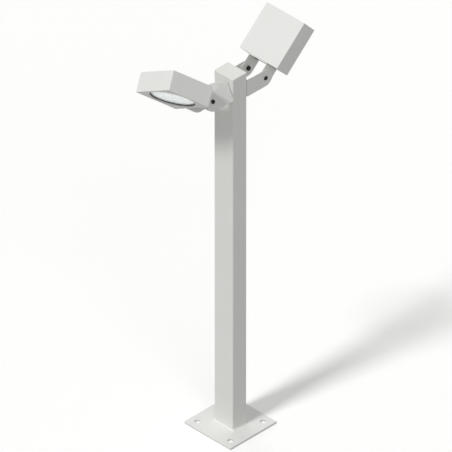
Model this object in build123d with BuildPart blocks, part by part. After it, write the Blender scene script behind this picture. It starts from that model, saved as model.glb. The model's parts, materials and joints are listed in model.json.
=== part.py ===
"""Garden lamp post: a rectangular tube on a bolted foot, with two square lamp heads.

Millimetres, +Z up. The origin is the centre of the base plate's underside.
The wide side of the tube faces +Y and -Y, and each of those sides carries a lamp head
on a folded bracket that swivels flat on the tube and a fork that tilts in the bracket.
"""
import os
from build123d import *

os.makedirs("parts", exist_ok=True)

# Foot
plate_side = 150.0
plate_thickness = 5.0
plate_corner_radius = 3.0
plate_edge = 0.6
anchor_circle = 150.0
anchor_hole = 14.0
cable_hole = 32.0
weld_leg = 3.5

# Post
post_height = 980.0
tube_width = 60.0
tube_depth = 45.0
tube_wall = 2.5
tube_corner_radius = 3.0
tube_inside_radius = 0.5
cap_thickness = 2.0
cap_edge = 0.8
cap_skirt_depth = 14.0
cap_skirt_wall = 2.0
cap_clearance = 0.15

# Hexagon heads and nuts have their corners taken off at this angle to the end face
hexagon_bevel = 30.0

# Swivel joint between the tube and a bracket
swivel_drop = 45.0
swivel_shank = 10.0
lead_bore = 5.5
swivel_flange = 20.0
swivel_flange_thickness = 1.5
swivel_hexagon = 15.0
swivel_head_height = 5.0
swivel_nut_height = 6.0
swivel_shank_end = 1.5
pad_diameter = 38.0
pad_thickness = 1.0

# Bracket and fork, folded from sheet
bracket_height = 45.0
bracket_reach = 60.0
bracket_sheet = 1.5
bracket_bend = 1.5
fork_sheet = 1.5
fork_bend = 1.5
fork_gap = 0.2

# Tilt joint between a bracket and its fork
tilt_shank = 6.0
tilt_head_diameter = 10.5
tilt_head_height = 3.3
tilt_head_crown = 1.4
tilt_socket = 4.0
tilt_socket_depth = 2.0
tilt_nut_hexagon = 10.0
tilt_nut_height = 5.0
tilt_shank_end = 1.0

# Running clearance of a shank in its hole, and between faces that slide
shank_clearance = 0.05
slide_clearance = 0.1

# Lamp head
head_side = 120.0
head_depth = 48.0
head_offset = 30.0
head_wall = 2.5
head_corner_radius = 2.0
head_edge_radius = 1.2
corner_post = 12.0
pedestal_margin = 4.0
pedestal_height = 2.0
frame_thickness = 3.0
frame_clearance = 0.15
opening_margin = 7.0
opening_chamfer = 0.8
lens_overlap = 3.0
lens_thickness = 3.0
gasket_show = 1.5
gasket_thickness = 1.0
reflector_wall = 1.0
reflector_inset = 2.0
reflector_neck_gap = 3.0
reflector_bands = 6
board_diameter = 42.0
board_thickness = 1.6
emitter_diameter = 18.0
emitter_thickness = 1.2
emitter_crown = 0.5

# Lead inlet and fork screws in the head's near side
inlet_hole = 10.0
grommet_rim = 1.75
grommet_lip = 1.5
inlet_margin = 1.5
fork_screw_spacing = 40.0
fork_screw_hole = 4.3
fork_screw_tapping = 3.3

# How each head stands: which way it looks out, turned on the tube and tilted up
sides = {
    "left": {"outward": -1, "swivel": 28.5, "tilt": 42.5},
    "right": {"outward": 1, "swivel": 0.0, "tilt": 42.8},
}


def save(piece, node):
    """Label a finished piece with its name and write it to its own file."""
    piece.part.label = node
    export_step(piece.part, f"parts/{node}.step")


def raise_hexagon(plane, across_flats, height):
    """Raise a hexagon from the plane and bevel the corners of its far end by a cone."""
    with BuildSketch(plane) as outline:
        RegularPolygon(across_flats / 2, 6, major_radius=False)
    extrude(outline.sketch, amount=height)
    with BuildSketch(plane.offset(height)) as end_face:
        Circle(across_flats / 2)
    extrude(end_face.sketch, amount=-height, taper=hexagon_bevel - 90, mode=Mode.INTERSECT)


# Foot and post

tube_base = plate_thickness
tube_top = post_height - cap_thickness
swivel_level = post_height - swivel_drop
tube_inside_width = tube_width - 2 * tube_wall
tube_inside_depth = tube_depth - 2 * tube_wall

with BuildPart() as base_plate:
    with BuildSketch():
        RectangleRounded(plate_side, plate_side, plate_corner_radius)
        with PolarLocations(anchor_circle / 2, 4, start_angle=45):
            Circle(anchor_hole / 2, mode=Mode.SUBTRACT)
        Circle(cable_hole / 2, mode=Mode.SUBTRACT)
    extrude(amount=plate_thickness)
    upper_rim = base_plate.faces().sort_by(Axis.Z)[-1].outer_wire().edges()
    chamfer(upper_rim, plate_edge)
save(base_plate, "base_plate")

with BuildPart() as post_tube:
    with BuildSketch(Plane.XY.offset(tube_base)):
        RectangleRounded(tube_width, tube_depth, tube_corner_radius)
        RectangleRounded(tube_inside_width, tube_inside_depth, tube_inside_radius, mode=Mode.SUBTRACT)
    extrude(amount=tube_top - tube_base)
    with BuildSketch(Plane.XZ.offset(-tube_depth)):
        with Locations((0, swivel_level)):
            Circle(swivel_shank / 2 + shank_clearance)
    extrude(amount=2 * tube_depth, mode=Mode.SUBTRACT)
save(post_tube, "post_tube")

with BuildPart() as base_weld:
    with BuildSketch(Plane.XY.offset(tube_base)):
        RectangleRounded(
            tube_width + 2 * weld_leg,
            tube_depth + 2 * weld_leg,
            tube_corner_radius + weld_leg,
        )
    extrude(amount=weld_leg, taper=45)
    with BuildSketch(Plane.XY.offset(tube_base)):
        RectangleRounded(tube_width, tube_depth, tube_corner_radius)
    extrude(amount=weld_leg, mode=Mode.SUBTRACT)
save(base_weld, "base_weld")

with BuildPart() as post_cap:
    with BuildSketch(Plane.XY.offset(tube_top)):
        RectangleRounded(tube_width, tube_depth, tube_corner_radius)
    extrude(amount=cap_thickness)
    upper_rim = post_cap.faces().sort_by(Axis.Z)[-1].edges()
    chamfer(upper_rim, cap_edge)
    with BuildSketch(Plane.XY.offset(tube_top)):
        skirt_width = tube_inside_width - 2 * cap_clearance
        skirt_depth = tube_inside_depth - 2 * cap_clearance
        RectangleRounded(skirt_width, skirt_depth, tube_inside_radius - cap_clearance)
        Rectangle(skirt_width - 2 * cap_skirt_wall, skirt_depth - 2 * cap_skirt_wall, mode=Mode.SUBTRACT)
    extrude(amount=-cap_skirt_depth)
save(post_cap, "post_cap")

# Lamp heads, one on each wide side of the tube

web_back = pad_thickness
web_front = web_back + bracket_sheet
ear_outside = tube_width / 2
ear_inside = ear_outside - bracket_sheet
lug_outside = ear_inside - fork_gap
lug_inside = lug_outside - fork_sheet
arm_radius = bracket_height / 2
tilt_hole_radius = tilt_shank / 2 + shank_clearance
swivel_hole_radius = swivel_shank / 2 + shank_clearance

back_face = -head_depth / 2
front_face = head_depth / 2
cavity_floor = back_face + head_wall
cavity_side = head_side - 2 * head_wall
frame_seat = front_face - frame_thickness
lens_front = frame_seat - gasket_thickness
lens_back = lens_front - lens_thickness
board_seat = cavity_floor + pedestal_height
board_top = board_seat + board_thickness
opening_radius = head_side / 2 - opening_margin
lens_radius = opening_radius + lens_overlap
mouth_radius = opening_radius - reflector_inset
neck_radius = emitter_diameter / 2 + reflector_neck_gap
grommet_radius = inlet_hole / 2 + grommet_rim

# The reflector is a parabola turned in short bands: its height grows with the radius squared
bowl_profile = []
for band in range(reflector_bands + 1):
    bowl_radius = neck_radius + (mouth_radius - neck_radius) * band / reflector_bands
    rise = (bowl_radius**2 - neck_radius**2) / (mouth_radius**2 - neck_radius**2)
    bowl_profile.append((bowl_radius, board_top + rise * (lens_back - board_top)))

for side, stance in sides.items():
    outward = stance["outward"]

    # Tube face: X along the tilt axis, Y up the tube, Z away from the post
    tube_face = Plane(
        origin=(0, outward * tube_depth / 2, swivel_level),
        x_dir=(-outward, 0, 0),
        z_dir=(0, outward, 0),
    )
    bracket_face = tube_face.moved(Rotation(0, 0, stance["swivel"]))
    bracket_plan = bracket_face.moved(Rotation(90, 0, 0))
    bracket_profile = bracket_face.moved(Rotation(0, -90, 0))

    # Head: X along the tilt axis, Y away from the pivot, Z out of the lamp's front
    pivot = bracket_face.offset(bracket_reach)
    head = pivot.moved(Rotation(90 - stance["tilt"], 0, 0))
    head_profile = head.moved(Rotation(0, -90, 0))
    lamp = Plane(
        origin=head.from_local_coords((0, head_offset + head_side / 2, 0)),
        x_dir=head.x_dir,
        z_dir=head.z_dir,
    )
    near_side = Plane(
        origin=head.from_local_coords((0, head_offset, 0)),
        x_dir=head.x_dir,
        z_dir=-head.y_dir,
    )
    lamp_section = lamp.moved(Rotation(90, 0, 0))
    lamp_axis = Axis(lamp.origin, lamp.z_dir)

    with BuildPart() as swivel_pad:
        with BuildSketch(bracket_face):
            Circle(pad_diameter / 2)
            Circle(swivel_hole_radius, mode=Mode.SUBTRACT)
        extrude(amount=pad_thickness)
    save(swivel_pad, f"{side}_swivel_pad")

    with BuildPart() as swivel_bolt:
        bolt_seat = web_front + slide_clearance
        nut_face = tube_wall + swivel_flange_thickness + swivel_nut_height
        head_seat = bolt_seat + swivel_flange_thickness
        raise_hexagon(bracket_face.offset(head_seat), swivel_hexagon, swivel_head_height)
        with BuildSketch(bracket_face.offset(bolt_seat)):
            Circle(swivel_flange / 2)
        extrude(amount=swivel_flange_thickness)
        with BuildSketch(bracket_face.offset(bolt_seat)):
            Circle(swivel_shank / 2)
        extrude(amount=-(bolt_seat + nut_face + swivel_shank_end))
        with BuildSketch(bracket_face.offset(bracket_reach)):
            Circle(lead_bore / 2)
        extrude(amount=-(bracket_reach + tube_depth / 2), mode=Mode.SUBTRACT)
    save(swivel_bolt, f"{side}_swivel_bolt")

    with BuildPart() as swivel_nut:
        inward = bracket_face.moved(Rotation(180, 0, 0))
        raise_hexagon(inward.offset(tube_wall + swivel_flange_thickness), swivel_hexagon, swivel_nut_height)
        with BuildSketch(bracket_face.offset(-tube_wall)):
            Circle(swivel_flange / 2)
        extrude(amount=-swivel_flange_thickness)
        with BuildSketch(bracket_face):
            Circle(swivel_hole_radius)
        extrude(amount=-tube_depth / 2, mode=Mode.SUBTRACT)
    save(swivel_nut, f"{side}_swivel_nut")

    # The bracket is a folded U whose ears end in full rounds about the pivot
    with BuildPart() as bracket:
        ear_end = bracket_reach + arm_radius
        bend_outside = bracket_bend + bracket_sheet
        with BuildSketch(bracket_plan):
            with BuildLine():
                FilletPolyline(
                    (-ear_outside, ear_end),
                    (-ear_outside, web_back),
                    (ear_outside, web_back),
                    (ear_outside, ear_end),
                    radius=bend_outside,
                )
                FilletPolyline(
                    (ear_inside, ear_end),
                    (ear_inside, web_front),
                    (-ear_inside, web_front),
                    (-ear_inside, ear_end),
                    radius=bracket_bend,
                )
                Line((-ear_outside, ear_end), (-ear_inside, ear_end))
                Line((ear_outside, ear_end), (ear_inside, ear_end))
            make_face()
        extrude(amount=arm_radius, both=True)
        with BuildSketch(bracket_profile):
            with Locations((bracket_reach / 2, 0)):
                Rectangle(bracket_reach, bracket_height)
            with Locations((bracket_reach, 0)):
                Circle(arm_radius)
        extrude(amount=tube_width, both=True, mode=Mode.INTERSECT)
        with BuildSketch(bracket_profile):
            with Locations((bracket_reach, 0)):
                Circle(tilt_hole_radius)
        extrude(amount=tube_width, both=True, mode=Mode.SUBTRACT)
        with BuildSketch(bracket_face):
            Circle(swivel_hole_radius)
        extrude(amount=bracket_reach / 2, mode=Mode.SUBTRACT)
    save(bracket, f"{side}_bracket")

    # Tilt screws run in from both ears and each nut lies inside its lug
    for place, direction in {"near": -outward, "far": outward}.items():
        tilt_plane = Plane(
            origin=pivot.origin,
            x_dir=pivot.z_dir,
            z_dir=pivot.x_dir * direction,
        )
        with BuildPart() as tilt_screw:
            with BuildSketch(tilt_plane.offset(ear_outside)):
                Circle(tilt_head_diameter / 2)
            extrude(amount=tilt_head_height)
            crown_rim = tilt_screw.faces().sort_by(Axis(tilt_plane.origin, tilt_plane.z_dir))[-1].edges()
            chamfer(crown_rim, tilt_head_crown)
            with BuildSketch(tilt_plane.offset(ear_outside + tilt_head_height)):
                RegularPolygon(tilt_socket / 2, 6, major_radius=False)
            extrude(amount=-tilt_socket_depth, mode=Mode.SUBTRACT)
            with BuildSketch(tilt_plane.offset(ear_outside)):
                Circle(tilt_shank / 2)
            shank_inside = lug_inside - slide_clearance - tilt_nut_height - tilt_shank_end
            extrude(amount=-(ear_outside - shank_inside))
        save(tilt_screw, f"{side}_tilt_screw_{place}")

        with BuildPart() as tilt_nut:
            nut_seat = tilt_plane.offset(lug_inside - slide_clearance)
            raise_hexagon(nut_seat.moved(Rotation(180, 0, 0)), tilt_nut_hexagon, tilt_nut_height)
            with BuildSketch(nut_seat):
                Circle(tilt_hole_radius)
            extrude(amount=-tilt_nut_height, mode=Mode.SUBTRACT)
        save(tilt_nut, f"{side}_tilt_nut_{place}")

    # The fork is the same fold the other way round, with its web screwed to the head
    with BuildPart() as fork:
        web_inside = head_offset - fork_sheet
        fork_outside = fork_bend + fork_sheet
        with BuildSketch(head):
            with BuildLine():
                FilletPolyline(
                    (-lug_outside, -arm_radius),
                    (-lug_outside, head_offset),
                    (lug_outside, head_offset),
                    (lug_outside, -arm_radius),
                    radius=fork_outside,
                )
                FilletPolyline(
                    (lug_inside, -arm_radius),
                    (lug_inside, web_inside),
                    (-lug_inside, web_inside),
                    (-lug_inside, -arm_radius),
                    radius=fork_bend,
                )
                Line((-lug_outside, -arm_radius), (-lug_inside, -arm_radius))
                Line((lug_outside, -arm_radius), (lug_inside, -arm_radius))
            make_face()
        extrude(amount=arm_radius, both=True)
        with BuildSketch(head_profile):
            with Locations((0, head_offset / 2)):
                Rectangle(bracket_height, head_offset)
            Circle(arm_radius)
        extrude(amount=tube_width, both=True, mode=Mode.INTERSECT)
        with BuildSketch(head_profile):
            Circle(tilt_hole_radius)
        extrude(amount=tube_width, both=True, mode=Mode.SUBTRACT)
        with BuildSketch(near_side):
            Circle(grommet_radius + inlet_margin)
            with GridLocations(fork_screw_spacing, 0, 2, 1):
                Circle(fork_screw_hole / 2)
        extrude(amount=2 * fork_sheet, mode=Mode.SUBTRACT)
    save(fork, f"{side}_fork")

    # The housing is a cast box, open at the front, with a post in each corner
    with BuildPart() as housing:
        with BuildSketch(lamp.offset(back_face)):
            RectangleRounded(head_side, head_side, head_corner_radius)
        extrude(amount=head_depth)
        back_rim = housing.faces().sort_by(lamp_axis)[0].edges()
        fillet(back_rim, head_edge_radius)
        with BuildSketch(lamp.offset(cavity_floor)):
            Rectangle(cavity_side, cavity_side)
        extrude(amount=head_depth, mode=Mode.SUBTRACT)
        with BuildSketch(lamp.offset(cavity_floor)):
            with GridLocations(cavity_side - corner_post, cavity_side - corner_post, 2, 2):
                Rectangle(corner_post, corner_post)
        extrude(amount=frame_seat - cavity_floor)
        with BuildSketch(lamp.offset(cavity_floor)):
            Circle(board_diameter / 2 + pedestal_margin)
        extrude(amount=pedestal_height)
        with BuildSketch(near_side):
            Circle(inlet_hole / 2)
            with GridLocations(fork_screw_spacing, 0, 2, 1):
                Circle(fork_screw_tapping / 2)
        extrude(amount=-2 * head_wall, mode=Mode.SUBTRACT)
    save(housing, f"{side}_housing")

    with BuildPart() as front_frame:
        with BuildSketch(lamp.offset(frame_seat)):
            Rectangle(cavity_side - 2 * frame_clearance, cavity_side - 2 * frame_clearance)
            Circle(opening_radius, mode=Mode.SUBTRACT)
        extrude(amount=frame_thickness)
        opening_rim = front_frame.faces().sort_by(lamp_axis)[-1].edges().filter_by(GeomType.CIRCLE)
        chamfer(opening_rim, opening_chamfer)
    save(front_frame, f"{side}_front_frame")

    with BuildPart() as lens_gasket:
        with BuildSketch(lamp.offset(lens_front)):
            Circle(lens_radius)
            Circle(opening_radius - gasket_show, mode=Mode.SUBTRACT)
        extrude(amount=gasket_thickness)
    save(lens_gasket, f"{side}_lens_gasket")

    with BuildPart() as lens:
        with BuildSketch(lamp.offset(lens_back)):
            Circle(lens_radius)
        extrude(amount=lens_thickness)
    save(lens, f"{side}_lens")

    # The bowl stands on the board and its flat lip carries the lens
    with BuildPart() as reflector:
        with BuildSketch(lamp_section):
            with BuildLine():
                Polyline(*bowl_profile)
                offset(amount=reflector_wall, kind=Kind.INTERSECTION, side=Side.RIGHT)
            make_face()
            with Locations((mouth_radius, lens_back)):
                Rectangle(lens_radius - mouth_radius, reflector_wall, align=(Align.MIN, Align.MAX))
            with Locations((0, board_top)):
                Rectangle(
                    lens_radius,
                    lens_back - board_top,
                    align=(Align.MIN, Align.MIN),
                    mode=Mode.INTERSECT,
                )
        revolve(axis=lamp_axis)
    save(reflector, f"{side}_reflector")

    with BuildPart() as led_board:
        with BuildSketch(lamp.offset(board_seat)):
            Circle(board_diameter / 2)
        extrude(amount=board_thickness)
    save(led_board, f"{side}_led_board")

    with BuildPart() as led_emitter:
        with BuildSketch(lamp.offset(board_top)):
            Circle(emitter_diameter / 2)
        extrude(amount=emitter_thickness)
        emitter_rim = led_emitter.faces().sort_by(lamp_axis)[-1].edges()
        chamfer(emitter_rim, emitter_crown)
    save(led_emitter, f"{side}_led_emitter")

    with BuildPart() as lead_grommet:
        with BuildSketch(near_side.offset(grommet_lip)):
            Circle(grommet_radius)
        extrude(amount=-grommet_lip)
        with BuildSketch(near_side):
            Circle(inlet_hole / 2 - shank_clearance)
        extrude(amount=-head_wall)
        with BuildSketch(near_side.offset(-head_wall)):
            Circle(grommet_radius)
        extrude(amount=-grommet_lip)
        with BuildSketch(near_side.offset(grommet_lip)):
            Circle(lead_bore / 2)
        extrude(amount=-(head_wall + 2 * grommet_lip), mode=Mode.SUBTRACT)
    save(lead_grommet, f"{side}_lead_grommet")
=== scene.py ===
import json
from math import cos, pi, radians, sin

import bmesh
import bpy
import numpy as np
from mathutils import Matrix, Vector


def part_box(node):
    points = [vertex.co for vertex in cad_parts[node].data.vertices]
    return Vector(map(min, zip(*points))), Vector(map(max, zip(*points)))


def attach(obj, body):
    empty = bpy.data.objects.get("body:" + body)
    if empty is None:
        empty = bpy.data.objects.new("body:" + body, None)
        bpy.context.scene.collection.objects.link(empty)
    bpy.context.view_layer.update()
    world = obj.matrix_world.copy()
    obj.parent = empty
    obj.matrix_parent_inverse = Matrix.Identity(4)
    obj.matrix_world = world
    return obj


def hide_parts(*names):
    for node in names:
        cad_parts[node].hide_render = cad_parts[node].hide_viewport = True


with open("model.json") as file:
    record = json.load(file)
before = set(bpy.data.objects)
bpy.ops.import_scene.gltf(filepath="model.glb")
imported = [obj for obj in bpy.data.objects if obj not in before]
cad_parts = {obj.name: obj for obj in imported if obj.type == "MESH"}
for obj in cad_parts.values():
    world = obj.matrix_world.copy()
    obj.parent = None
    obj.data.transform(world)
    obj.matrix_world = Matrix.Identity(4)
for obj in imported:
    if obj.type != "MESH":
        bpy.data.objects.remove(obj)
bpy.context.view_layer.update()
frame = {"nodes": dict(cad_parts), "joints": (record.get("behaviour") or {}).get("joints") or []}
mm = 0.001
mergeMm = 0.001    # points of a skin nearer than this become one, as at a pole
sides = ("left", "right")
print("frame loaded")


# Places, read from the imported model

def jointNamed(name):
    return next(joint for joint in frame["joints"] if joint["name"] == name)


# A lamp's pivot and its own directions as rows: along the tilt screws, away from the pivot, out of
# the front. The tilt range runs equally to both sides of straight out, so its middle tells how far
# the lamp is raised.
def lampPlace(side):
    tilt = jointNamed(side + "_tilt")
    outward = np.array(jointNamed(side + "_swivel")["axis"], float)
    upward = np.cross(np.array(tilt["axis"], float), outward)
    raised = -radians(sum(tilt["range_deg"]) / 2)
    away = cos(raised) * outward + sin(raised) * upward
    front = sin(raised) * outward - cos(raised) * upward
    return np.array(tilt["pos_m"], float), np.array([np.cross(away, front), away, front])


# How far a CAD node reaches from a point along a direction, lowest and highest, in millimetres
def reach(nodeName, origin, direction):
    mesh = frame["nodes"][nodeName].data
    flat = np.empty(3 * len(mesh.vertices))
    mesh.vertices.foreach_get("co", flat)
    along = (flat.reshape(-1, 3) - origin) @ direction / mm
    return along.min(), along.max()


# The middle of a round node of a lamp, level with the lamp's pivot, and its radius in millimetres
def roundPlace(nodeName, pivot, axes):
    low, high = reach(nodeName, pivot, axes[0])
    nearEdge, farEdge = reach(nodeName, pivot, axes[1])
    middle = pivot + (axes[1] * (nearEdge + farEdge) / 2 + axes[0] * (low + high) / 2) * mm
    return middle, (high - low) / 2


# Surfaces

# Turns a grid of points in millimetres, rows by columns by 3, into a mesh placed at an origin with
# the rows of axes as its x, y and z. Columns always close into rings. Rows close too where asked,
# or else the first and last row shrink to poles, which are merged. V runs along the rows by their
# length in millimetres, and U goes round once.
def skin(name, grid, origin=(0, 0, 0), axes=np.eye(3), rowsClose=False, sharpDeg=34):
    rows, columns = grid.shape[:2]
    points = np.asarray(origin) + grid.reshape(-1, 3) @ axes * mm
    row = np.arange(rows if rowsClose else rows - 1)[:, None]
    column = np.arange(columns)[None, :]
    nextRow, nextColumn = (row + 1) % rows, (column + 1) % columns
    corners = (row * columns + column, row * columns + nextColumn,
               nextRow * columns + nextColumn, nextRow * columns + column)
    faces = np.stack(np.broadcast_arrays(*corners), axis=-1).reshape(-1, 4)
    mesh = bpy.data.meshes.new(name)
    mesh.from_pydata(points.tolist(), [], faces.tolist())
    steps = np.linalg.norm(np.roll(grid, -1, axis=0) - grid, axis=2).mean(axis=1)
    length = np.concatenate([[0], np.cumsum(steps)])
    turns = np.stack(np.broadcast_arrays(column, column + 1, column + 1, column), axis=-1) / columns
    heights = np.stack([length[row], length[row], length[row + 1], length[row + 1]], axis=-1)
    spread = np.stack(np.broadcast_arrays(turns, heights), axis=-1)
    mesh.uv_layers.new(name="along").data.foreach_set("uv", spread.astype(np.float32).ravel())
    work = bmesh.new()
    work.from_mesh(mesh)
    bmesh.ops.remove_doubles(work, verts=work.verts, dist=mergeMm * mm)
    bmesh.ops.recalc_face_normals(work, faces=work.faces)
    work.to_mesh(mesh)
    work.free()
    mesh.shade_smooth()
    mesh.set_sharp_from_angle(angle=radians(sharpDeg))
    return mesh


# A profile of radii and heights turned about z. A radius may be one number or one for each angle.
def turned(radii, heights, angles):
    radius = np.stack([np.broadcast_to(r, angles.shape) for r in radii])
    height = np.broadcast_to(np.asarray(heights, float)[:, None], radius.shape)
    return np.stack([radius * np.cos(angles), radius * np.sin(angles), height], axis=-1)


# Puts a mesh in the scene as a piece of a body, with its material, and hides the nodes it stands for. The
# slot name is not used.
def addPiece(mesh, body, slotName, material, *standsFor):
    piece = bpy.data.objects.new(mesh.name, mesh)
    bpy.context.scene.collection.objects.link(piece)
    mesh.materials.append(material)
    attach(piece, body)
    if standsFor:
        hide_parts(*standsFor)
    return piece


# Materials

# An sRGB hex value as the linear colour that a shader wants
def linear(hexColour):
    value = np.array([int(hexColour[i:i + 2], 16) / 255 for i in (1, 3, 5)])
    value = np.where(value <= 0.04045, value / 12.92, ((value + 0.055) / 1.055) ** 2.4)
    return (*value.tolist(), 1.0)


# Adds a node with its own settings, and each input set to a value or linked from an output
def addNode(tree, kind, inputs=None, **settings):
    node = tree.nodes.new("ShaderNode" + kind)
    for name, value in settings.items():
        setattr(node, name, value)
    for socket, value in (inputs or {}).items():
        if isinstance(value, bpy.types.NodeSocket):
            tree.links.new(value, node.inputs[socket])
        else:
            node.inputs[socket].default_value = value
    return node


# A material with one shader, its plain sockets set from the look
def newMaterial(name, look):
    material = bpy.data.materials.new(name)
    material.use_nodes = True
    tree = material.node_tree
    tree.nodes.clear()
    shader = addNode(tree, "BsdfPrincipled", look["sockets"])
    addNode(tree, "OutputMaterial", {"Surface": shader.outputs[0]})
    return material, tree, shader


driftDetail = 2.0    # finer layers in the slow drift of every skin


# Colour and roughness that drift together between the look's two ends, as a noise of its drift size
def drifting(tree, shader, place, look):
    noise = addNode(tree, "TexNoise", {"Vector": place, "Scale": 1 / (look["driftMm"] * mm),
                                       "Detail": driftDetail})
    colour = addNode(tree, "Mix", {0: noise.outputs[0], 6: linear(look["darker"]),
                                   7: linear(look["lighter"])}, data_type="RGBA")
    gloss = addNode(tree, "MapRange", {0: noise.outputs[0], 3: look["rougher"], 4: look["smoother"]})
    tree.links.new(colour.outputs[2], shader.inputs["Base Color"])
    tree.links.new(gloss.outputs[0], shader.inputs["Roughness"])


# Bumps as a noise of the look's grain size and depth
def grained(tree, shader, place, look):
    noise = addNode(tree, "TexNoise", {"Vector": place, "Scale": 1 / (look["grainMm"] * mm),
                                       "Detail": look["grainDetail"]})
    bump = addNode(tree, "Bump", {"Height": noise.outputs[0], "Strength": look["grainStrength"],
                                  "Distance": look["grainDeepMm"] * mm})
    tree.links.new(bump.outputs[0], shader.inputs["Normal"])


# A skin with both: what powder, plastic, rubber and oxide have in common
def skinned(name, look):
    material, tree, shader = newMaterial(name, look)
    place = addNode(tree, "TexCoord").outputs["Object"]
    drifting(tree, shader, place, look)
    grained(tree, shader, place, look)
    return material


# Polyester powder baked on steel: an even satin skin, faintly pebbled like fine orange peel.
# The real pebbles are about 0.8 mm across and are drawn three times as coarse so that they show.
coatLook = {"sockets": {"IOR": 1.5}, "lighter": "#E5E6E3", "darker": "#E0E1DD", "driftMm": 70,
            "rougher": 0.50, "smoother": 0.34,
            "grainMm": 2.4, "grainDeepMm": 0.24, "grainStrength": 0.8, "grainDetail": 3.0}
steelCoat = skinned("powderCoatedSteelWhite", coatLook)

# The same powder on die-cast aluminium: the casting's skin shows through as a slightly rougher grain
castingLook = {"sockets": {"IOR": 1.5}, "lighter": "#E4E5E2", "darker": "#DFE0DC", "driftMm": 45,
               "rougher": 0.56, "smoother": 0.40,
               "grainMm": 1.8, "grainDeepMm": 0.22, "grainStrength": 0.8, "grainDetail": 4.0}
castingCoat = skinned("powderCoatedCastAluminium", castingLook)

# Injection-moulded polypropylene: a shade warmer than the powder, waxy, with a spark-eroded matt grain
capLook = {"sockets": {"IOR": 1.49}, "lighter": "#E6E6E2", "darker": "#E2E2DD", "driftMm": 30,
           "rougher": 0.56, "smoother": 0.44,
           "grainMm": 0.5, "grainDeepMm": 0.03, "grainStrength": 0.4, "grainDetail": 3.0}
capMoulding = skinned("mouldedPolypropyleneWhite", capLook)

# Steel with a hot black oxide: a thin dark conversion layer over metal, so glints are still metallic
oxideLook = {"sockets": {"Metallic": 0.85}, "lighter": "#2E2F31", "darker": "#1D1E20", "driftMm": 3,
             "rougher": 0.46, "smoother": 0.26,
             "grainMm": 0.4, "grainDeepMm": 0.02, "grainStrength": 0.4, "grainDetail": 3.0}
blackOxide = skinned("blackOxideSteel", oxideLook)

# Moulded black nylon: dull, with a little sheen where the tool was smooth
nylonLook = {"sockets": {"IOR": 1.53}, "lighter": "#343537", "darker": "#2C2D2F", "driftMm": 8,
             "rougher": 0.58, "smoother": 0.42,
             "grainMm": 0.6, "grainDeepMm": 0.03, "grainStrength": 0.4, "grainDetail": 3.0}
padNylon = skinned("mouldedNylonBlack", nylonLook)

# Pressed silicone rubber: nearly matt and soft-looking, it hardly reflects
rubberLook = {"sockets": {"IOR": 1.41}, "lighter": "#3B3C3E", "darker": "#333436", "driftMm": 12,
              "rougher": 0.74, "smoother": 0.62,
              "grainMm": 0.8, "grainDeepMm": 0.03, "grainStrength": 0.3, "grainDetail": 3.0}
gasketRubber = skinned("pressedSiliconeGrey", rubberLook)

# White solder mask printed over the board: a glossy lacquer that swells softly over the copper under it
maskLook = {"sockets": {"IOR": 1.5}, "lighter": "#F1F2EF", "darker": "#EAEBE7", "driftMm": 5,
            "rougher": 0.38, "smoother": 0.26,
            "grainMm": 2.5, "grainDeepMm": 0.04, "grainStrength": 0.3, "grainDetail": 1.0}
boardMask = skinned("printedSolderMaskWhite", maskLook)

# Phosphor powder cast in silicone over the chips: an even yellow, softly glossy and finely speckled.
# The real specks are about 0.02 mm across and are drawn far coarser so that they show close up.
phosphorLook = {"sockets": {"IOR": 1.41}, "lighter": "#F5D872", "darker": "#DBAC2E", "driftMm": 0.7,
                "rougher": 0.44, "smoother": 0.32,
                "grainMm": 0.5, "grainDeepMm": 0.02, "grainStrength": 0.3, "grainDetail": 2.0}
emitterPhosphor = skinned("castPhosphorSilicone", phosphorLook)

# White silicone laid round the phosphor as a bead: clean and softly glossy, a little uneven as it set
damSiliconeLook = {"sockets": {"IOR": 1.41}, "lighter": "#F2F2EE", "darker": "#EEEEEA", "driftMm": 4,
                   "rougher": 0.50, "smoother": 0.40,
                   "grainMm": 1.5, "grainDeepMm": 0.03, "grainStrength": 0.3, "grainDetail": 1.0}
damSilicone = skinned("laidDamSiliconeWhite", damSiliconeLook)

# Toughened float glass: clear and colourless face on, with crisp reflections at a slant
glassLook = {"sockets": {"Base Color": linear("#F7FAF9"), "Roughness": 0.0, "IOR": 1.52,
                         "Transmission Weight": 1.0}}
lensGlass = newMaterial("toughenedFloatGlass", glassLook)[0]

# Spun and bright-anodised aluminium: a mirror drawn out into rings by the spinning tool.
# Real marks are about 0.1 mm apart and are drawn coarser so that they show.
brightLook = {"sockets": {"Base Color": linear("#E6E8EA"), "Roughness": 0.16, "Metallic": 1.0},
              "ringMm": 0.35, "ringDeepMm": 0.004, "ringStrength": 0.35, "ringDetail": 2.0}


# The rings are a noise of the length along the bowl's own section, which its UV map holds as V
def spunAluminium(look):
    material, tree, shader = newMaterial("spunBrightAnodisedAluminium", look)
    split = addNode(tree, "SeparateXYZ", {0: addNode(tree, "TexCoord").outputs["UV"]})
    rings = addNode(tree, "TexNoise", {"W": split.outputs[1], "Scale": 1 / look["ringMm"],
                                       "Detail": look["ringDetail"]}, noise_dimensions="1D")
    bump = addNode(tree, "Bump", {"Height": rings.outputs[0], "Strength": look["ringStrength"],
                                  "Distance": look["ringDeepMm"] * mm})
    tree.links.new(bump.outputs[0], shader.inputs["Normal"])
    return material


bowlAluminium = spunAluminium(brightLook)

# The finish of each material slot that the CAD nodes have
finishes = {
    "post_paint": steelCoat, "bracket_paint": steelCoat, "head_casting": castingCoat,
    "cap_plastic": capMoulding, "black_fastener": blackOxide, "pad_nylon": padNylon,
    "gasket_rubber": gasketRubber, "lens_glass": lensGlass, "reflector_metal": bowlAluminium,
    "board_metal": boardMask, "emitter_phosphor": emitterPhosphor,
}
for node in frame["nodes"].values():
    node.data.materials[0] = finishes[node.data.materials[0].name.split(".")[0]]
print("materials on the CAD nodes")


# Weld at the foot

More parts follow.
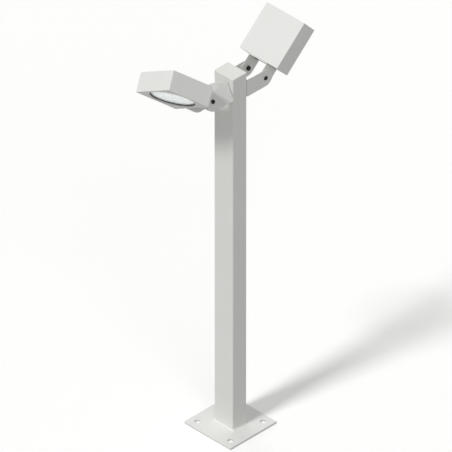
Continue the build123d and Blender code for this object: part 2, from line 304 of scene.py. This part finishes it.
weldLook = {"tubeRadiusMm": 3.0, "ripplePitchMm": 2.4, "samplesPerRipple": 8, "crownMm": 0.55,
            "rippleMm": 0.3, "crescent": 0.55, "acrossRows": 12}


# Points and outward normals evenly spaced along a rectangle with rounded corners. Walking round,
# the centre of the rounding moves on the straights and waits while the normal turns at a corner.
def roundedOutline(width, depth, radius, count):
    halfX, halfY = width / 2 - radius, depth / 2 - radius
    quarter = pi / 2 * radius
    walk = np.concatenate([[0], np.cumsum([2 * halfY, quarter, 2 * halfX, quarter] * 2)])
    centreX = np.array([1, 1, 1, -1, -1, -1, -1, 1, 1]) * halfX
    centreY = np.array([-1, 1, 1, 1, 1, -1, -1, -1, -1]) * halfY
    facing = np.array([0, 0, 1, 1, 2, 2, 3, 3, 4]) * pi / 2
    along = np.linspace(0, walk[-1], count, endpoint=False)
    angle = np.interp(along, walk, facing)
    normal = np.stack([np.cos(angle), np.sin(angle)], axis=-1)
    centre = np.stack([np.interp(along, walk, centreX), np.interp(along, walk, centreY)], axis=-1)
    return centre + radius * normal, normal


# A fillet bead carried round the tube. Across the bead the section is a straight slope from the tube
# to the plate, raised at 45 degrees by half a sine wave; along it, ripples lag towards the middle as
# crescents. The outline is as long as its four sides, less what its round corners cut off.
def weldBead(look):
    tubeLow, tubeHigh = (np.array(corner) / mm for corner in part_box("post_tube"))
    weldLow, weldHigh = (np.array(corner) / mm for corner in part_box("base_weld"))
    leg, foot = weldHigh[2] - weldLow[2], weldLow[2]
    width, depth = (tubeHigh - tubeLow)[:2]
    radius = look["tubeRadiusMm"]
    length = 2 * (width + depth) - (8 - 2 * pi) * radius
    ripples = round(length / look["ripplePitchMm"])
    outline, normal = roundedOutline(width, depth, radius, ripples * look["samplesPerRipple"])
    turn = np.arange(len(outline)) / look["samplesPerRipple"]
    share = np.linspace(0, 1, look["acrossRows"])[:, None]
    arch = np.sin(pi * share)
    ripple = np.abs(np.cos(pi * (turn[None, :] - look["crescent"] * arch))) * look["rippleMm"]
    lift = (look["crownMm"] - ripple) * arch / np.sqrt(2)
    out = leg * share + lift
    up = leg * (1 - share) + lift
    out = np.vstack([out, np.zeros((1, len(turn)))])
    up = np.vstack([up, np.zeros((1, len(turn)))])
    flat = outline[None] + normal[None] * out[..., None]
    return skin("weldBead", np.dstack([flat, foot + up]), rowsClose=True)


addPiece(weldBead(weldLook), "post", "post_paint", steelCoat, "base_weld")
print("weld bead laid")


# Screws

# A button-head socket screw turned about z, with its seat at z = 0. The profile runs from the middle
# of the socket's floor up its walls, over a bevel and a flat land, over a crown that is a quarter of
# an ellipse, under the head and down the shank. In the socket the radius follows a hexagon: half its
# width over the cosine of the angle from the nearest flat. The thread takes a triangle wave of depth
# and turn together off the radius.
def socketScrew(look):
    angles = np.linspace(0, 2 * pi, look["columns"], endpoint=False)
    hexagon = look["socketMm"] / 2 / np.cos(angles % (pi / 3) - pi / 6)
    top, rim, shank = look["headHighMm"], look["headMm"] / 2, look["shankMm"] / 2
    mouth = hexagon.max() + look["bevelMm"]
    floor = top - look["socketDeepMm"]
    sweep = np.linspace(0, pi / 2, look["crownRows"])
    land, crownBase, under = mouth + look["landMm"], look["rimHighMm"], look["underEdgeMm"]
    radii = [0, hexagon, hexagon, mouth]
    heights = [floor - look["drillMm"], floor, top - look["bevelDeepMm"], top]
    radii += list(land + (rim - land) * np.sin(sweep))
    heights += list(crownBase + (top - crownBase) * np.cos(sweep))
    radii += [rim, rim - under, shank, shank]
    heights += [under, 0, 0, -look["plainMm"]]
    deep = np.linspace(look["plainMm"], look["longMm"] - look["tipMm"], look["threadRows"])
    crest = look["threadMm"] / 2
    wave = np.abs(2 * ((deep[:, None] / look["pitchMm"] + angles[None, :] / (2 * pi)) % 1) - 1)
    radii += list(crest - look["threadDeepMm"] * wave)
    heights += list(-deep)
    radii += [crest - look["threadDeepMm"] - look["endEdgeMm"], 0]
    heights += [-look["longMm"], -look["longMm"]]
    return turned(radii, heights, angles)


# The small edges round socket, head and shank end, the same on both kinds of screw
screwEdges = {"bevelMm": 0.12, "bevelDeepMm": 0.2, "landMm": 0.25, "underEdgeMm": 0.15, "endEdgeMm": 0.1}
tiltScrewLook = {**screwEdges, "columns": 72, "crownRows": 10, "threadRows": 28, "headMm": 10.5,
                 "socketMm": 4.0, "socketDeepMm": 2.0, "drillMm": 0.4, "rimHighMm": 0.5, "shankMm": 6.0,
                 "plainMm": 5.0, "threadMm": 6.0, "pitchMm": 1.0, "threadDeepMm": 0.5, "tipMm": 0.6}
forkScrewLook = {**screwEdges, "columns": 48, "crownRows": 8, "threadRows": 20, "headMm": 7.6,
                 "headHighMm": 2.2, "socketMm": 2.5, "socketDeepMm": 1.3, "drillMm": 0.3, "rimHighMm": 0.4,
                 "shankMm": 4.0, "plainMm": 1.5, "threadMm": 3.2, "pitchMm": 0.7, "threadDeepMm": 0.3,
                 "tipMm": 0.4, "longMm": 5.5, "apartMm": 40.0, "sheetMm": 1.5}


# The tilt screws take their seats and lengths from the bracket's ears and the plain screws
def tiltScrew(side, place, look):
    pivot, axes = lampPlace(side)
    node = side + "_tilt_screw_" + place
    near, far = reach(node, pivot, axes[0])
    facing = 1 if near + far > 0 else -1
    outside, inside = (far, near) if facing > 0 else (-near, -far)
    ear = reach(side + "_bracket", pivot, axes[0] * facing)[1]
    grid = socketScrew({**look, "headHighMm": outside - ear, "longMm": ear - inside})
    across = axes[0] * facing
    spun = np.array([axes[1], np.cross(across, axes[1]), across])
    mesh = skin(side + place.capitalize() + "TiltScrew", grid, pivot + across * ear * mm, spun)
    addPiece(mesh, side + "_arm", "black_fastener", blackOxide, node)


# Two screws hold each fork to its lamp, one on either side of the lead
def forkScrews(side, look):
    pivot, axes = lampPlace(side)
    seat = reach(side + "_housing", pivot, axes[1])[0] - look["sheetMm"]
    inward = np.array([axes[0], -axes[2], -axes[1]])
    for number, offset in enumerate((-look["apartMm"] / 2, look["apartMm"] / 2), 1):
        origin = pivot + (axes[1] * seat + axes[0] * offset) * mm
        mesh = skin(side + "ForkScrew" + str(number), socketScrew(look), origin, inward)
        addPiece(mesh, side + "_lamp", "black_fastener", blackOxide)


for side in sides:
    for place in ("near", "far"):
        tiltScrew(side, place, tiltScrewLook)
    forkScrews(side, forkScrewLook)
print("screws fitted")


# Reflectors

reflectorLook = {"columns": 216, "facetsRound": 24, "facetRows": 7, "rowsPerFacet": 6, "facetMm": 0.3,
                 "neckMm": 12.0, "mouthMm": 51.0, "wallMm": 1.0}


# A spun bowl with pillow facets. Inside, height grows with the radius squared from neck to mouth; the
# facets sink it by one arch round and another up, multiplied. An arch is the parabola 4 s (1 - s),
# which is 1 in the middle of a facet and 0 at its edges. The lip runs flat to the glass's edge, and
# the outside follows the inside at the wall's thickness, cut off level with the board.
def reflectorBowl(side, look):
    pivot, axes = lampPlace(side)
    node = side + "_reflector"
    board, lip = reach(node, pivot, axes[2])
    middle, edge = roundPlace(node, pivot, axes)
    neck, mouth, wall = look["neckMm"], look["mouthMm"], look["wallMm"]
    angles = np.linspace(0, 2 * pi, look["columns"], endpoint=False)
    radius = np.linspace(neck, mouth, look["facetRows"] * look["rowsPerFacet"] + 1)
    slope = 2 * (lip - board) / (mouth**2 - neck**2)
    height = board + slope * (radius**2 - neck**2) / 2
    tilt = np.hypot(slope * radius, 1)
    roundShare = (angles * look["facetsRound"] / (2 * pi)) % 1
    upShare = np.linspace(0, look["facetRows"], len(radius)) % 1
    dip = look["facetMm"] * np.outer(4 * upShare * (1 - upShare), 4 * roundShare * (1 - roundShare))
    inRadius = radius[:, None] + dip * (slope * radius / tilt)[:, None]
    inHeight = height[:, None] - dip / tilt[:, None]
    outRadius = (radius + wall * slope * radius / tilt)[::-1]
    outHeight = np.clip(height - wall / tilt, board, lip - wall)[::-1]
    lipRadius = np.array([edge, edge])
    lipHeight = np.array([lip, lip - wall])
    plain = np.ones((1, len(angles)))
    radii = np.vstack([inRadius, np.outer(np.concatenate([lipRadius, outRadius]), plain)])
    heights = np.vstack([inHeight, np.outer(np.concatenate([lipHeight, outHeight]), plain)])
    grid = np.stack([radii * np.cos(angles), radii * np.sin(angles), heights], axis=-1)
    mesh = skin(side + "ReflectorBowl", grid, middle, axes, rowsClose=True, sharpDeg=9)
    addPiece(mesh, side + "_lamp", "reflector_metal", bowlAluminium, node)


damLook = {"columns": 96, "rows": 16, "ringMm": 9.5, "thickMm": 1.0, "highMm": 1.3}


# The white bead round the phosphor: a flattened ring, its section an ellipse standing on the board
def damRing(side, look):
    pivot, axes = lampPlace(side)
    node = side + "_led_board"
    board = reach(node, pivot, axes[2])[1]
    middle = roundPlace(node, pivot, axes)[0]
    section = np.linspace(0, 2 * pi, look["rows"], endpoint=False)
    angles = np.linspace(0, 2 * pi, look["columns"], endpoint=False)
    radii = list(look["ringMm"] + look["thickMm"] / 2 * np.cos(section))
    heights = board + np.clip(look["highMm"] * np.sin(section), 0, None)
    mesh = skin(side + "DamRing", turned(radii, heights, angles), middle, axes, rowsClose=True)
    addPiece(mesh, side + "_lamp", "emitter_phosphor", damSilicone)


for side in sides:
    reflectorBowl(side, reflectorLook)
    damRing(side, damLook)
print("reflectors and light sources dressed")


# Floor, light and camera

# The floor throws back a plain grey, so that undersides keep some shade. What the camera, a mirror or
# the glass sees of floor and room is white, with the lamp post's shadow on it.
roomLook = {"acrossM": 60.0, "belowMm": 0.2, "bounce": "#B4B4B2", "seen": "#FAFAF9", "seenGlow": 0.11,
            "sky": 0.34, "seenSky": 1.0}


# One where a ray comes from the camera, a mirror or the glass, and nought where light only bounces
def seenDirectly(tree):
    path = addNode(tree, "LightPath")
    either = addNode(tree, "Math", {0: path.outputs["Is Camera Ray"], 1: path.outputs["Is Glossy Ray"]},
                     operation="MAXIMUM")
    return addNode(tree, "Math", {0: either.outputs[0], 1: path.outputs["Is Transmission Ray"]},
                   operation="MAXIMUM").outputs[0]


def makeFloor(look):
    half, low = look["acrossM"] / 2, -look["belowMm"] * mm
    mesh = bpy.data.meshes.new("paleFloor")
    mesh.from_pydata([(-half, -half, low), (half, -half, low), (half, half, low), (-half, half, low)], [],
                     [(0, 1, 2, 3)])
    floor = bpy.data.objects.new("paleFloor", mesh)
    bpy.context.scene.collection.objects.link(floor)
    material = bpy.data.materials.new("paintedFloorWhite")
    material.use_nodes = True
    tree = material.node_tree
    tree.nodes.clear()
    bounce = addNode(tree, "BsdfDiffuse", {"Color": linear(look["bounce"])})
    seen = addNode(tree, "BsdfDiffuse", {"Color": linear(look["seen"])})
    glow = addNode(tree, "Emission", {"Strength": look["seenGlow"]})
    white = addNode(tree, "AddShader", {0: seen.outputs[0], 1: glow.outputs[0]})
    pick = addNode(tree, "MixShader", {0: seenDirectly(tree), 1: bounce.outputs[0], 2: white.outputs[0]})
    addNode(tree, "OutputMaterial", {"Surface": pick.outputs[0]})
    mesh.materials.append(material)


def makeSky(look):
    world = bpy.data.worlds.new("softWhiteRoom")
    world.use_nodes = True
    tree = world.node_tree
    tree.nodes.clear()
    sky = addNode(tree, "Background", {"Color": (1, 1, 1, 1), "Strength": look["sky"]})
    wall = addNode(tree, "Background", {"Color": (1, 1, 1, 1), "Strength": look["seenSky"]})
    pick = addNode(tree, "MixShader", {0: seenDirectly(tree), 1: sky.outputs[0], 2: wall.outputs[0]})
    addNode(tree, "OutputWorld", {"Surface": pick.outputs[0]})
    bpy.context.scene.world = world


# A broad lamp from the upper left, as soft as a window, a weak, far softer one from the right that
# keeps the shaded sides apart, and another from low behind for the far sides, in the room's even light
lampLooks = {
    "windowLight": {"strength": 1.75, "softDeg": 9, "from": (-0.05, -0.88, 1.15)},
    "fillLight": {"strength": 0.4, "softDeg": 30, "from": (0.90, -0.50, 0.80)},
    "backLight": {"strength": 0.7, "softDeg": 40, "from": (-0.85, 0.30, 0.25)},
}


def makeLight(name, look):
    light = bpy.data.objects.new(name, bpy.data.lights.new(name, "SUN"))
    light.data.energy = look["strength"]
    light.data.angle = radians(look["softDeg"])
    light.rotation_euler = Vector(look["from"]).to_track_quat("Z", "Y").to_euler()
    bpy.context.scene.collection.objects.link(light)


# The picture is an isometric view, so a very long lens stands far off at that angle
cameraLook = {"lensMm": 1600.0, "sensorMm": 36.0, "mmPerPixel": 2.2694, "pixelsAcross": 452,
              "aimMm": (-7.1, -7.1, 551.8),    # what stands behind the middle of the picture
              "clipNearM": 1.0, "clipFarTimes": 3}


def makeCamera(look):
    data = bpy.data.cameras.new("camera")
    data.lens, data.sensor_width = look["lensMm"], look["sensorMm"]
    distance = look["mmPerPixel"] * look["pixelsAcross"] * mm * look["lensMm"] / look["sensorMm"]
    data.clip_start, data.clip_end = look["clipNearM"], look["clipFarTimes"] * distance
    camera = bpy.data.objects.new("camera", data)
    towards = Vector((1, -1, 1)).normalized()
    turn = towards.to_track_quat("Z", "Y").to_matrix().to_4x4()
    camera.matrix_world = Matrix.Translation(Vector(look["aimMm"]) * mm + towards * distance) @ turn
    bpy.context.scene.collection.objects.link(camera)
    bpy.context.scene.camera = camera


makeFloor(roomLook)
makeSky(roomLook)
for name, look in lampLooks.items():
    makeLight(name, look)
makeCamera(cameraLook)
bpy.context.scene.view_settings.view_transform = "Standard"
print("room, light and camera set")
